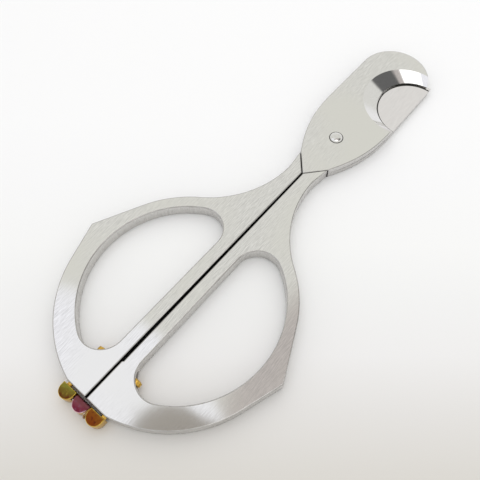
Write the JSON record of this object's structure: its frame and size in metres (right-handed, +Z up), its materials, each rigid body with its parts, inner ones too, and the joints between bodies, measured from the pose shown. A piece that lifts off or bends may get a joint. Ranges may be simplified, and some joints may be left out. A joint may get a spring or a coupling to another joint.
{
  "type": "floral snips",
  "caption": "Brushed steel floral snips: looped scissor handles, a round hook blade over a counter blade, a domed pivot and a turn catch at the tail.",
  "frame": {"origin": "middle of the footprint, on the surface that the closed snips lie on", "axes": "+X runs along the slit from the tail to the blades, +Y towards the left handle, +Z up out of the plate"},
  "size_m": [0.1522, 0.0704, 0.0048],
  "materials": {
    "brushed_steel": "brushed",
    "blade_steel": "brushed",
    "polished_steel": "polished",
    "pin_steel": "satin",
    "spring_steel": "satin",
    "polished_brass": "polished",
    "screw_brass": "satin",
    "rose_brass": "polished",
    "bronze": "satin"
  },
  "bodies": {
    "right_half": {"handle_right": "brushed_steel", "hook_blade": "blade_steel", "hook_dowel_front": "pin_steel", "hook_dowel_rear": "pin_steel", "pivot_rivet": "polished_steel", "pivot_spring_washer": "spring_steel", "lug_right": "polished_brass", "lug_screw_right": "screw_brass", "keeper_pin": "pin_steel"},
    "left_half": {"handle_left": "brushed_steel", "counter_blade": "blade_steel", "counter_dowel_front": "pin_steel", "counter_dowel_rear": "pin_steel", "pivot_bush": "bronze", "lug_left": "polished_brass", "lug_screw_left": "screw_brass"},
    "turn_catch": {"catch_turn": "rose_brass", "catch_bolt": "pin_steel", "catch_cross_pin": "pin_steel", "catch_washer": "bronze"}
  },
  "joints": [
    {"name": "handle_swing", "type": "hinge", "parent": "right_half", "child": "left_half", "pos_m": [0.0324, 0, 0.0021], "axis": [0, 0, -1], "range_deg": [0, 35]},
    {"name": "catch_turn_hinge", "type": "hinge", "parent": "right_half", "child": "turn_catch", "pos_m": [-0.07425, 0, 0.0021], "axis": [0, 1, 0], "range_deg": [0, 90]}
  ]
}
